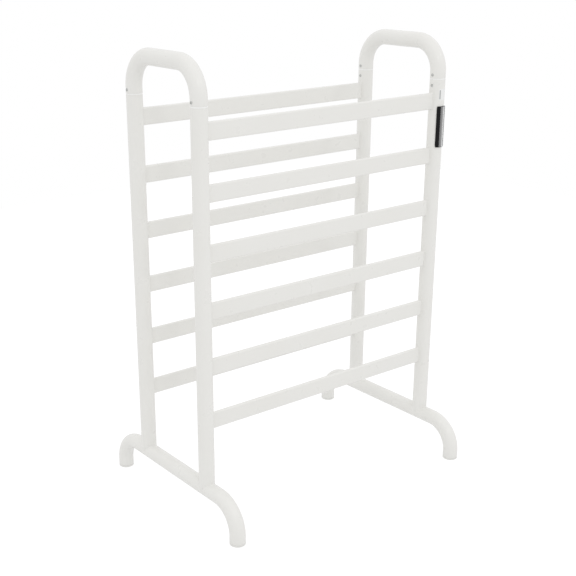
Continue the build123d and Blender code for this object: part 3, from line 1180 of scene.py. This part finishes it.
@dataclass(frozen=True)
class Upright:
    """One upright: a straight tube, coped over its base tube, with a slot for each rail."""

    lines: RackLines
    side: Side
    face: Face
    wall: float = 1.2 * MILLIMETRE
    columns: int = 96
    row_step: float = 24.0 * MILLIMETRE
    rim_round: float = 0.35 * MILLIMETRE
    cope_clearance: float = 0.3 * MILLIMETRE
    first_rows: tuple[float, float] = (3.0 * MILLIMETRE, 8.0 * MILLIMETRE)
    crowding: float = 0.45
    strip_window: tuple[float, float] = (7.0 * MILLIMETRE, 66.0 * MILLIMETRE)
    gland_half_window: float = 4.6 * MILLIMETRE

    def windows(self) -> list[Window]:
        """The openings that this upright has.

        Returns:
            The rail slots, and the strip's or the gland's opening where it has one.
        """
        inward = 0.0 if self.side is Side.LEFT else math.pi
        half_depth = self.lines.rail_depth / 2
        found = [
            Window(inward, self.lines.rail_thickness / 2, height - half_depth, height + half_depth)
            for height in self.lines.rails
        ]
        if (self.side, self.face) == (Side.RIGHT, Face.FRONT):
            low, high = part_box("control_lens")
            middle = (low.z + high.z) / 2
            half_width, height = self.strip_window
            found.append(Window(-math.pi / 2, half_width, middle - height / 2, middle + height / 2))
        if (self.side, self.face) == (Side.RIGHT, Face.BACK):
            low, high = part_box("cord_gland")
            middle, half = (low.z + high.z) / 2, self.gland_half_window
            found.append(Window(math.pi / 2, half, middle - half, middle + half))
        return found

    def bearings(self, windows: list[Window]) -> list[tuple[float, float]]:
        """Angles of the wall's columns, outside and inside.

        Args:
            windows: The openings, whose sides need a column of their own.

        Returns:
            (outer angle, inner angle) of each column, in order round the tube.
        """
        found = {}
        for step in range(self.columns):
            angle = math.tau * step / self.columns
            found[round(angle, 6)] = (angle, angle)
        for window in windows:
            outer = math.asin(window.half_width / self.lines.tube)
            inner = math.asin(window.half_width / (self.lines.tube - self.wall))
            for sign in (-1, 1):
                pair = (
                    (window.bearing + sign * outer) % math.tau,
                    (window.bearing + sign * inner) % math.tau,
                )
                found[round(pair[0], 6)] = pair
        ordered = [found[key] for key in sorted(found)]
        edges = {round(pair[0], 6) for pair in ordered if pair[0] != pair[1]}
        crowded = math.tau / self.columns * self.crowding
        return [
            pair
            for pair in ordered
            if pair[0] != pair[1] or all(abs(pair[0] - edge) > crowded for edge in edges)
        ]

    def rows(self, windows: list[Window]) -> list[tuple[float, float]]:
        """Levels of the wall's rows above the cope.

        Args:
            windows: The openings, whose ends need a row of their own.

        Returns:
            (height, how far the outer wall is drawn in) of each row, from the bottom up.
        """
        top, rim = self.lines.upright_top, self.rim_round
        floor = self.lines.base_axis + self.lines.tube
        levels = {*(floor + rise for rise in self.first_rows), top - 6 * rim, top - 3 * rim}
        for window in windows:
            levels |= {window.low, window.high}
        ordered = sorted(levels)
        filled = []
        for low, high in zip(ordered, ordered[1:]):
            parts = max(1, math.ceil((high - low) / self.row_step))
            filled += [low + (high - low) * part / parts for part in range(parts)]
        rows = [(height, 0.0) for height in [*filled, ordered[-1]]]
        for turn in QUARTER:
            angle = math.radians(turn)
            rows.append((top - rim + rim * math.sin(angle), rim - rim * math.cos(angle)))
        return rows

    def build(self) -> bpy.types.Object:
        """Make the tube's wall, cell by cell, leaving out the openings.

        Returns:
            The upright.
        """
        windows = self.windows()
        columns = self.bearings(windows)
        rows = self.rows(windows)
        axis = self.lines.leg(self.side, self.face)
        outer_radius, inner_radius = self.lines.tube, self.lines.tube - self.wall
        cope = self.lines.tube + self.cope_clearance

        def open_at(row: int, column: int) -> bool:
            """Tell whether one cell of the wall lies in an opening.

            Args:
                row: The cell's row, 0 at the cope.
                column: The cell's column.

            Returns:
                True in an opening and past the wall's ends.
            """
            if row < 0 or row > len(rows) - 1:
                return True
            if row == 0:
                return False
            height = (rows[row - 1][0] + rows[row][0]) / 2
            first, second = columns[column][0], columns[(column + 1) % len(columns)][0]
            angle = first + ((second - first) % math.tau) / 2
            for window in windows:
                away = abs((angle - window.bearing + math.pi) % math.tau - math.pi)
                if window.low < height < window.high:
                    if away < math.asin(window.half_width / outer_radius):
                        return True
            return False

        vertices: list[Vector] = []
        known: dict[tuple[int, int, bool], int] = {}

        def corner(row: int, column: int, inside: bool) -> int:
            """Number of one corner of the wall, made when it is first needed.

            Args:
                row: The corner's row, 0 at the cope.
                column: The corner's column.
                inside: True for the wall's inner face.

            Returns:
                The vertex's number.
            """
            column %= len(columns)
            key = (row, column, inside)
            if key not in known:
                angle = columns[column][inside]
                height, drawn = rows[row - 1] if row else (0.0, 0.0)
                radius = inner_radius if inside else outer_radius - drawn
                x, y = radius * math.cos(angle), radius * math.sin(angle)
                if row == 0:
                    height = self.lines.base_axis + math.sqrt(cope * cope - x * x)
                known[key] = len(vertices)
                vertices.append(Vector((axis.x + x, axis.y + y, height)))
            return known[key]

        faces: list[list[int]] = []
        for row in range(len(rows)):
            for column in range(len(columns)):
                if open_at(row, column):
                    continue
                low, high, left, right = row, row + 1, column, column + 1
                ring = [(low, left), (low, right), (high, right), (high, left)]
                faces.append([corner(*place, False) for place in ring])
                faces.append([corner(*place, True) for place in reversed(ring)])
                neighbours = (
                    (open_at(row - 1, column), ring[0], ring[1]),
                    (open_at(row, (column + 1) % len(columns)), ring[1], ring[2]),
                    (open_at(row + 1, column) or row + 1 == len(rows), ring[2], ring[3]),
                    (open_at(row, column - 1), ring[3], ring[0]),
                )
                for is_open, start, end in neighbours:
                    if is_open:
                        rim = [corner(*end, False), corner(*start, False)]
                        faces.append([*rim, corner(*start, True), corner(*end, True)])
        return new_piece(f"post_{self.face.word}_{self.side.word}", vertices, faces, POWDER_COAT)

    def make(self) -> None:
        """Build the upright and hand it over."""
        hand_over(self.build(), Slot.POWDER_COAT, f"upright_{self.face.word}_{self.side.word}")


@dataclass(frozen=True)
class Rail:
    """One rail: a flat oval tube along X."""

    lines: RackLines
    face: Face
    number: int
    wall: float = 1.0 * MILLIMETRE
    corner: float = 3.0 * MILLIMETRE
    spans: int = 12

    def make(self) -> None:
        """Build the rail and hand it over."""
        y = self.face.value * self.lines.half_depth
        z = self.lines.rails[self.number - 1]
        thickness, depth = self.lines.rail_thickness, self.lines.rail_depth
        outer = rounded_outline(thickness, depth, self.corner)
        inner = rounded_outline(thickness - 2 * self.wall, depth - 2 * self.wall, self.corner - self.wall)
        loops = []
        for step in range(self.spans + 1):
            x = self.lines.rail_reach * (2 * step / self.spans - 1)
            loops.append([Vector((x, y + u, z + v)) for u, v in outer])
        for step in range(self.spans, -1, -1):
            x = self.lines.rail_reach * (2 * step / self.spans - 1)
            loops.append([Vector((x, y + u, z + v)) for u, v in inner])
        faces = ring_faces(len(loops), len(outer), closed=True)
        vertices = [vertex for loop in loops for vertex in loop]
        name = f"bar_{self.face.word}_{self.number}"
        piece = new_piece(name, vertices, faces, POWDER_COAT, outwards=True)
        hand_over(piece, Slot.POWDER_COAT, f"rail_{self.face.word}_{self.number}")


@dataclass(frozen=True)
class Welds:
    """Coated weld beads at the rails' ends and over the base tubes."""

    lines: RackLines
    rail_bead: float = 1.1 * MILLIMETRE
    saddle_bead: float = 1.3 * MILLIMETRE
    rail_corner: float = 3.0 * MILLIMETRE
    step: float = 0.9 * MILLIMETRE

    def rails(self, side: Side) -> None:
        """Lay the beads round one side's rail ends.

        Args:
            side: The end frame that the rails enter.
        """
        name = f"rail_welds_{side.word}"
        places = [self.lines.leg(side, face, height) for face in Face for height in self.lines.rails]
        values = {
            "Rail Thickness": self.lines.rail_thickness,
            "Rail Depth": self.lines.rail_depth,
            "Rail Corner": self.rail_corner,
            "Step": self.step,
            "Tube Radius": self.lines.tube,
            "Inward": float(-side.value),
            "Bead": self.rail_bead,
            "Seed": 3.0 + side.value,
        }
        piece = rail_weld_recipe(POWDER_COAT).make(name, seed_points(name, places), values, POWDER_COAT)
        self.dress(piece)

    def saddles(self) -> None:
        """Lay the beads over both base tubes."""
        name = "saddle_welds"
        places = [self.lines.leg(side, face, self.lines.base_axis) for side in Side for face in Face]
        values = {"Tube Radius": self.lines.tube, "Bead": self.saddle_bead, "Seed": 7.0}
        piece = saddle_weld_recipe(POWDER_COAT).make(name, seed_points(name, places), values, POWDER_COAT)
        self.dress(piece)

    def dress(self, piece: bpy.types.Object) -> None:
        """Turn the beads' faces outwards, shade them and hand them over.

        Args:
            piece: The beads.
        """
        cleaned(piece.data, merge=False)
        mark_edges(piece.data)
        hand_over(piece, Slot.POWDER_COAT)


@dataclass(frozen=True)
class SeamCollar:
    """The plastic sleeve that joins a loop to an upright, with the collar that shows between."""

    lines: RackLines
    side: Side
    face: Face
    collar_radius: float = 15.9 * MILLIMETRE
    sleeve_radius: float = 14.75 * MILLIMETRE
    bore_radius: float = 10.2 * MILLIMETRE
    edge_round: float = 0.5 * MILLIMETRE
    lead_in: float = 1.2 * MILLIMETRE

    def make(self) -> None:
        """Turn the sleeve and its collar and hand them over."""
        node = f"loop_joiner_{self.face.word}_{self.side.word}"
        low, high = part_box(node)
        below, above = self.lines.upright_top, self.lines.loop_bottom
        edge = self.edge_round
        rings: list[Ring] = [
            (self.bore_radius, low.z),
            (self.sleeve_radius - self.lead_in, low.z),
            (self.sleeve_radius, low.z + 2 * self.lead_in),
            (self.sleeve_radius, below),
        ]
        rings += arc(QUARTER, self.collar_radius - edge, below + edge, edge, -edge)
        rings += arc(QUARTER[::-1], self.collar_radius - edge, above - edge, edge, edge)
        rings += [
            (self.sleeve_radius, above),
            (self.sleeve_radius, high.z - 2 * self.lead_in),
            (self.sleeve_radius - self.lead_in, high.z),
            (self.bore_radius, high.z),
        ]
        axis = self.lines.leg(self.side, self.face)
        vertices, faces = turned(rings, axis, UP, segments=96, closed=True)
        name = f"seam_collar_{self.face.word}_{self.side.word}"
        hand_over(new_piece(name, vertices, faces, COLLAR_PLASTIC, outwards=True), Slot.COLLAR, node)


@dataclass(frozen=True)
class SeamScrews:
    """Button-head socket screws above and below each seam."""

    lines: RackLines
    above_seam: float = 8.0 * MILLIMETRE
    below_seam: float = 13.0 * MILLIMETRE
    head_radius: float = 3.0 * MILLIMETRE
    head_height: float = 1.0 * MILLIMETRE
    shank_radius: float = 1.9 * MILLIMETRE
    shank_length: float = 5.0 * MILLIMETRE
    socket_radius: float = 1.45 * MILLIMETRE
    socket_depth: float = 1.1 * MILLIMETRE
    sunk: float = 0.5 * MILLIMETRE

    def hexagon(self, angle: float) -> float:
        """How far the socket's flat sides are from its middle at one angle."""
        sixth = math.pi / 3
        return self.socket_radius * math.cos(sixth / 2) / math.cos(angle % sixth - sixth / 2)

    def screw(self) -> bpy.types.Object:
        """One screw along +Z, its head's underside at the tube's surface.

        Returns:
            The screw, which the recipe copies.
        """
        head, height = self.head_radius, self.head_height
        rings: list[Ring] = [
            (0.0, -self.shank_length),
            (self.shank_radius * 0.7, -self.shank_length),
            (self.shank_radius, -self.shank_length + 0.3 * MILLIMETRE),
            (self.shank_radius, -self.sunk),
            (head, -self.sunk),
            (head, height * 0.4),
        ]
        for turn in (20.0, 40.0, 60.0, 78.0):
            angle = math.radians(turn)
            rings.append((head * (0.75 + 0.25 * math.cos(angle)), height * (0.4 + 0.6 * math.sin(angle))))
        rings += [
            (self.socket_radius * 1.08, height),
            (self.hexagon, height - 0.08 * MILLIMETRE),
            (self.hexagon, height - self.socket_depth),
            (0.0, height - self.socket_depth - 0.3 * MILLIMETRE),
        ]
        vertices, faces = turned(rings, Vector(), UP, segments=36)
        return new_piece("screw_pattern", vertices, faces, BRIGHT_ZINC, outwards=True)

    def make(self) -> None:
        """Copy the screw to all eight places and hand the set over."""
        seam = (self.lines.upright_top + self.lines.loop_bottom) / 2
        places, facings = [], []
        for side in Side:
            for face in Face:
                for height, direction in ((self.above_seam, -1), (-self.below_seam, -side.value)):
                    place = self.lines.leg(side, face, seam + height)
                    facing = Vector((float(direction), 0.0, 0.0))
                    places.append(place + self.lines.tube * facing)
                    facings.append(facing)
        seeds = seed_points("seam_screws", places)
        attribute = seeds.attributes.new("facing", "FLOAT_VECTOR", "POINT")
        attribute.data.foreach_set("vector", [value for facing in facings for value in facing])
        pattern = self.screw()
        values = {"Screw": pattern, "Seed": 11}
        piece = screw_recipe(BRIGHT_ZINC).make("seam_screws", seeds, values, BRIGHT_ZINC)
        bpy.data.objects.remove(pattern)
        mark_edges(piece.data)
        hand_over(piece, Slot.BRIGHT_STEEL, "joiner_screws")


@dataclass(frozen=True)
class FootShoe:
    """The plastic cap in a base tube's open end, with a ribbed sole and a plug."""

    lines: RackLines
    side: Side
    face: Face
    sole_round: float = 1.6 * MILLIMETRE
    top_round: float = 0.4 * MILLIMETRE
    plug_radius: float = 14.7 * MILLIMETRE
    plug_bore: float = 12.3 * MILLIMETRE
    rib_depth: float = 0.5 * MILLIMETRE
    rib_radii: tuple[float, ...] = (4.0 * MILLIMETRE, 7.0 * MILLIMETRE, 10.0 * MILLIMETRE)
    rib_width: float = 1.2 * MILLIMETRE
    rib_slope: float = 0.2 * MILLIMETRE
    plug_lead_in: tuple[float, float] = (0.6 * MILLIMETRE, 1.5 * MILLIMETRE)

    def make(self) -> None:
        """Turn the shoe and hand it over."""
        node = f"foot_cap_{self.face.word}_{self.side.word}"
        low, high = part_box(node)
        top, edge, radius = self.lines.foot_top, self.sole_round, self.lines.tube
        rings: list[Ring] = [(0.0, 0.0)]
        for rib in self.rib_radii:
            far = rib + self.rib_width
            rings += [(rib, 0.0), (rib + self.rib_slope, self.rib_depth)]
            rings += [(far, self.rib_depth), (far + self.rib_slope, 0.0)]
        rings += arc((0.0, 18.0, 36.0, 54.0, 72.0, 90.0), radius - edge, edge, edge, -edge)
        lip = self.top_round
        rings += arc(QUARTER[::-1], radius - lip, top - lip, lip, lip)
        inward, down = self.plug_lead_in
        rings += [(self.plug_radius, top), (self.plug_radius, high.z - down)]
        rings += [(self.plug_radius - inward, high.z), (self.plug_bore, high.z)]
        rings += [(self.plug_bore, top), (0.0, top)]
        foot = Vector(((low.x + high.x) / 2, (low.y + high.y) / 2, low.z))
        vertices, faces = turned(rings, foot, UP, segments=96)
        name = f"shoe_{self.face.word}_{self.side.word}"
        hand_over(new_piece(name, vertices, faces, SHOE_PLASTIC, outwards=True), Slot.FOOT, node)


@dataclass(frozen=True)
class WrappedPlate:
    """A thin plate wrapped round an upright, with round corners and a rounded outer edge."""

    axis: Vector
    bearing: float
    back: float
    front: float
    half_u: float
    half_v: float
    corner: float
    edge_round: float
    across: int = 56
    row_step: float = 3.0 * MILLIMETRE
    end_shares: tuple[float, ...] = (0.0, 0.02, 0.05, 0.1, 0.17, 0.23, 0.32, 0.43, 0.6, 0.8, 1.0, 1.33)

    def levels(self) -> list[float]:
        """Heights of the plate's rows about its middle, closer together near its ends.

        Returns:
            The rows, from the bottom up.
        """
        ends = [self.half_v - share * self.corner for share in self.end_shares]
        count = math.ceil(2 * ends[-1] / self.row_step)
        middle = [ends[-1] * (2 * step / count - 1) for step in range(1, count)]
        return [*(-level for level in ends), *middle, *reversed(ends)]

    def inset(self, u: float, v: float) -> float:
        """How far a point lies inside the plate's rounded outline.

        Args:
            u: Its place round the plate.
            v: Its place up the plate.

        Returns:
            The distance, 0 on the outline.
        """
        over_u = abs(u) - self.half_u + self.corner
        over_v = abs(v) - self.half_v + self.corner
        outside = math.hypot(max(over_u, 0.0), max(over_v, 0.0))
        return max(0.0, self.corner - outside - min(max(over_u, over_v), 0.0))

    def point(self, u: float, v: float, radius: float) -> Vector:
        """The place that is u round the plate and v up it, at a radius from the axis."""
        angle = self.bearing + u / self.front
        return self.axis + Vector((radius * math.cos(angle), radius * math.sin(angle), v))

    def build(self, name: str, finish: Finish) -> bpy.types.Object:
        """Make the plate as one closed skin.

        Args:
            name: The piece's name.
            finish: What it is finished with.

        Returns:
            The plate.
        """
        fronts, backs = [], []
        for v in self.levels():
            into_corner = max(0.0, abs(v) - self.half_v + self.corner)
            reach = self.half_u - self.corner + math.sqrt(max(0.0, self.corner**2 - into_corner**2))
            for step in range(self.across + 1):
                u = reach * math.sin((2 * step / self.across - 1) * math.pi / 2)
                short = max(0.0, self.edge_round - self.inset(u, v))
                drop = self.edge_round - math.sqrt(max(0.0, self.edge_round**2 - short**2))
                fronts.append(self.point(u, v, self.front - drop))
                backs.append(self.point(u, v, self.back))
        width, count = self.across + 1, len(self.levels())
        behind = len(fronts)
        faces = []
        for row in range(count - 1):
            for step in range(self.across):
                low, high = row * width + step, (row + 1) * width + step
                faces.append([low, low + 1, high + 1, high])
                faces.append([behind + low, behind + high, behind + high + 1, behind + low + 1])
        border = list(range(width))
        border += [row * width + width - 1 for row in range(1, count)]
        border += [(count - 1) * width + step for step in range(width - 2, -1, -1)]
        border += [row * width for row in range(count - 2, 0, -1)]
        for here, there in zip(border, border[1:] + border[:1]):
            faces.append([there, here, behind + here, behind + there])
        return new_piece(name, fronts + backs, faces, finish)


@dataclass(frozen=True)
class ControlStrip:
    """The polished lens on the right front upright, and a plain unlettered mark above it."""

    lines: RackLines
    corner: float = 3.0 * MILLIMETRE
    edge_round: float = 0.9 * MILLIMETRE
    lift: float = 0.03 * MILLIMETRE
    mark_bearing: float = math.radians(-112.0)
    mark_half_width: float = 1.3 * MILLIMETRE
    mark_rise: tuple[float, float] = (14.0 * MILLIMETRE, 33.0 * MILLIMETRE)
    film_bearing: float = math.radians(-92.0)
    film_half_width: float = 8.2 * MILLIMETRE
    film_rise: tuple[float, float] = (12.0 * MILLIMETRE, 35.0 * MILLIMETRE)
    film_thickness: float = 0.08 * MILLIMETRE

    def lens(self) -> None:
        """Wrap the lens on its upright and hand it over."""
        low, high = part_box("control_lens")
        axis = self.lines.leg(Side.RIGHT, Face.FRONT, (low.z + high.z) / 2)
        front = axis.y - low.y
        half_u = front * math.asin((high.x - low.x) / 2 / front)
        plate = WrappedPlate(
            axis=axis,
            bearing=-math.pi / 2,
            back=self.lines.tube + self.lift,
            front=front,
            half_u=half_u,
            half_v=(high.z - low.z) / 2,
            corner=self.corner,
            edge_round=self.edge_round,
        )
        hand_over(plate.build("touch_strip", LENS_BLACK), Slot.LENS, "control_lens")

    def sticker(self, name: str, finish: Finish, slot: Slot, layer: int, half_width: float) -> None:
        """Wrap the film, or the bar printed on it, and hand it over.

        Args:
            name: The piece's name.
            finish: What it is finished with.
            slot: The record's slot nearest to it.
            layer: 0 for the film and 1 for the bar.
            half_width: Half its width round the tube.
        """
        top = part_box("control_lens")[1].z
        low, high = (self.film_rise, self.mark_rise)[layer]
        back = self.lines.tube + self.lift / 2 + layer * self.film_thickness * 1.1
        plate = WrappedPlate(
            axis=self.lines.leg(Side.RIGHT, Face.FRONT, top + (low + high) / 2),
            bearing=(self.film_bearing, self.mark_bearing)[layer],
            back=back,
            front=back + self.film_thickness,
            half_u=half_width,
            half_v=(high - low) / 2,
            corner=half_width * 0.16 if layer == 0 else half_width * 0.9,
            edge_round=self.film_thickness * 0.6,
            across=24,
        )
        hand_over(plate.build(name, finish), slot)

    def make(self) -> None:
        """Make the lens, the film and the bar."""
        self.lens()
        self.sticker("mark_film", FILM_WHITE, Slot.COLLAR, 0, self.film_half_width)
        self.sticker("mark_bar", BAR_GREY, Slot.TERMINAL, 1, self.mark_half_width)


@dataclass(frozen=True)
class CordEntry:
    """The nylon gland on the back of the back right upright, with grips round its flange."""

    lines: RackLines
    bore: float = 3.75 * MILLIMETRE
    body: float = 4.5 * MILLIMETRE
    mouth_round: float = 0.8 * MILLIMETRE
    rim_round: float = 1.2 * MILLIMETRE
    grips: int = 12
    grip_depth: float = 0.35 * MILLIMETRE
    bedded: float = 0.4 * MILLIMETRE

    def make(self) -> None:
        """Turn the gland and hand it over."""
        low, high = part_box("cord_gland")
        flange = (high.x - low.x) / 2
        origin = Vector(((low.x + high.x) / 2, 0.0, (low.z + high.z) / 2))
        under = self.lines.half_depth + math.sqrt(self.lines.tube**2 - flange**2) - self.bedded

        def gripped(angle: float) -> float:
            """The flange's radius, drawn in at each grip."""
            return flange - self.grip_depth * max(0.0, math.cos(self.grips * angle)) ** 3

        rings: list[Ring] = [(self.bore, low.y), (self.body, low.y), (self.body, under), (gripped, under)]
        for turn in QUARTER[::-1]:
            angle = math.radians(turn)
            drawn = self.rim_round * (1 - math.sin(angle))
            height = high.y - self.rim_round * (1 - math.cos(angle))
            rings.append((lambda bearing, drawn=drawn: gripped(bearing) - drawn, height))
        mouth = self.mouth_round
        rings += arc(QUARTER, self.bore + mouth, high.y - mouth, -mouth, mouth)
        vertices, faces = turned(rings, origin, BACKWARD, segments=120, closed=True)
        piece = new_piece("cord_entry_gland", vertices, faces, GLAND_NYLON, outwards=True)
        hand_over(piece, Slot.GLAND, "cord_gland")


@dataclass(frozen=True)
class HiddenParts:
    """The solids inside the tubes, which keep their shape and get their real finish."""

    nodes: dict[str, bpy.types.Object]
    finishes: dict[str, Finish] = field(
        default_factory=lambda: {
            "bolt_insert": BRIGHT_ZINC,
            "base_bolts": BRIGHT_ZINC,
            "saddle_washers": BRIGHT_ZINC,
            "touch_springs": BRIGHT_ZINC,
            "control_board": BOARD_GREEN,
            "terminal_block": TERMINAL_NYLON,
            "supply_terminal": TERMINAL_NYLON,
            "lead_splice": TERMINAL_NYLON,
            "heater_relay": RELAY_CASE,
            "indicator_leds": LED_RESIN,
            "heating_cable": SILICONE_RED,
            "supply_lead": LEAD_WHITE,
            "heater_lead": LEAD_WHITE,
        }
    )

    def dress(self) -> None:
        """Give each of them its material."""
        for name, node in self.nodes.items():
            for start, finish in self.finishes.items():
                if name.startswith(start):
                    for material_slot in node.material_slots:
                        material_slot.material = finish.material()
                    log.info("%s keeps its solid, in %s", name, finish.name)


# ---- Studio ------------------------------------------------------------------------------------


@dataclass(frozen=True)
class SoftBox:
    """One rectangular studio light, which may fall on named pieces only."""

    name: str
    place: Point
    size: tuple[float, float]
    power: float
    target: Point = (0.0, 0.0, 0.5)
    only_on: tuple[str, ...] = ()

    def hang(self) -> None:
        """Hang the light, aimed at its target and shaded off from every piece it isn't for."""
        light = bpy.data.lights.new(self.name, "AREA")
        light.shape = "RECTANGLE"
        light.size, light.size_y = self.size
        light.energy = self.power
        lamp = bpy.data.objects.new(self.name, light)
        lamp.location = self.place
        aim = Vector(self.target) - Vector(self.place)
        lamp.rotation_euler = aim.to_track_quat("-Z", "Y").to_euler()
        lamp.visible_camera = False
        bpy.context.scene.collection.objects.link(lamp)
        if self.only_on:
            lit = bpy.data.collections.new(f"{self.name}_lit")
            for name in self.only_on:
                lit.objects.link(bpy.data.objects[name])
            lamp.light_linking.receiver_collection = lit


@dataclass(frozen=True)
class ViewCamera:
    """The main camera: where it stands, how it is turned and how the picture is framed."""

    place: Point = (-1.36236, -1.65439, 1.11315)
    heading: float = 0.638594
    downward: float = 0.358639
    tilt: float = 0.008696
    lens: float = 66.1856
    shift: tuple[float, float] = (0.083175, 0.076873)

    def set_up(self) -> None:
        """Make the camera and give it to the scene."""
        level = math.cos(self.downward)
        forward = Vector(
            (math.sin(self.heading) * level, math.cos(self.heading) * level, -math.sin(self.downward))
        )
        right = Vector((math.cos(self.heading), -math.sin(self.heading), 0.0))
        down = forward.cross(right)
        tilted_right = math.cos(self.tilt) * right + math.sin(self.tilt) * down
        tilted_down = math.cos(self.tilt) * down - math.sin(self.tilt) * right
        data = bpy.data.cameras.new("main_camera")
        data.sensor_width = 36.0
        data.lens = self.lens
        data.shift_x, data.shift_y = self.shift
        camera = bpy.data.objects.new("main_camera", data)
        turn = Matrix((tilted_right, -tilted_down, -forward)).transposed()
        camera.matrix_world = Matrix.Translation(self.place) @ turn.to_4x4()
        bpy.context.scene.collection.objects.link(camera)
        bpy.context.scene.camera = camera


@dataclass(frozen=True)
class Surround:
    """The white surround: a soft sky, a little brighter overhead, and plain white in view."""

    overhead: float = 0.98
    level: float = 0.822

    def lit(self) -> None:
        """Make the surround and give it to the scene."""
        world = bpy.data.worlds.new("studio_surround")
        world.use_nodes = True
        tree = world.node_tree
        way = wired(tree, "ShaderNodeTexCoord", {}).outputs["Generated"]
        height = wired(tree, "ShaderNodeSeparateXYZ", {0: way}).outputs["Z"]
        sky = {"Value": height, "From Min": -0.1, "From Max": 0.9, "To Min": self.level}
        above = wired(tree, "ShaderNodeMapRange", {**sky, "To Max": self.overhead}).outputs[0]
        seen = wired(tree, "ShaderNodeLightPath", {}).outputs["Is Camera Ray"]
        plain = wired(tree, "ShaderNodeMapRange", {"Value": seen, "To Min": above, "To Max": 1.0})
        tree.links.new(plain.outputs[0], tree.nodes["Background"].inputs["Strength"])
        tree.nodes["Background"].inputs["Color"].default_value = (1.0, 1.0, 1.0, 1.0)
        bpy.context.scene.world = world


@dataclass(frozen=True)
class Studio:
    """A pale floor in a white surround, two small lights and a panel for the control strip alone."""

    floor_half: float = 2.6
    floor_drop: float = 0.1 * MILLIMETRE
    floor_glow: float = 0.54
    floor_glow_in_view: float = 0.80
    floor_shade: Colour = (0.30, 0.30, 0.30)
    boxes: tuple[SoftBox, ...] = (
        SoftBox(
            "strip_panel",
            (2.29, -1.63, 0.32),
            (3.4, 0.9),
            112.0,
            target=(0.3, -0.12, 0.7),
            only_on=("touch_strip",),
        ),
        SoftBox("key_box", (-1.2, -3.2, 3.1), (0.35, 0.35), 5.0),
        SoftBox("rim_box", (1.9, -3.0, 3.3), (0.35, 0.35), 5.5),
    )

    def floor(self) -> None:
        """Lay the floor."""
        half, z = self.floor_half, -self.floor_drop
        corners = [(-half, -half, z), (half, -half, z), (half, half, z), (-half, half, z)]
        mesh = bpy.data.meshes.new("studio_floor")
        mesh.from_pydata(corners, [], [(0, 1, 2, 3)])
        sheet = ShaderSheet("pale_floor")
        sheet.feed(Base_Color=sheet.mixed(sheet.noise(0.4), self.floor_shade, self.floor_shade))
        sheet.feed(Roughness=1.0, Specular_IOR_Level=0.0)
        seen = sheet.add("ShaderNodeLightPath").outputs["Is Camera Ray"]
        sheet.feed(Emission_Strength=sheet.spread(seen, self.floor_glow, self.floor_glow_in_view, 0.0, 1.0))
        sheet.shader.inputs["Emission Color"].default_value = (1.0, 1.0, 1.0, 1.0)
        mesh.materials.append(sheet.material)
        floor = bpy.data.objects.new("studio_floor", mesh)
        bpy.context.scene.collection.objects.link(floor)

    def set_up(self) -> None:
        """Set the surround, lay the floor and hang the lights, once the pieces are there."""
        Surround().lit()
        self.floor()
        bpy.context.scene.view_settings.view_transform = "Standard"
        for box in self.boxes:
            box.hang()


def main() -> None:
    """Load the frame, set up the camera, build every piece round it and set up the studio."""
    logging.basicConfig(level=logging.INFO, format="%(name)s: %(message)s")
    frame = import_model()
    lines = RackLines.from_frame()
    ViewCamera().set_up()
    bent = BentTubes(lines)
    bent_recipe = bent_tube_recipe(POWDER_COAT)
    welds = Welds(lines)
    for side in Side:
        bent.loop(bent_recipe, side)
        bent.base(bent_recipe, side)
        welds.rails(side)
        for face in Face:
            Upright(lines, side, face).make()
            SeamCollar(lines, side, face).make()
            FootShoe(lines, side, face).make()
    welds.saddles()
    for face in Face:
        for number in range(1, len(lines.rails) + 1):
            Rail(lines, face, number).make()
    SeamScrews(lines).make()
    ControlStrip(lines).make()
    CordEntry(lines).make()
    HiddenParts(frame["nodes"]).dress()
    Studio().set_up()


if __name__ == "__main__":
    main()
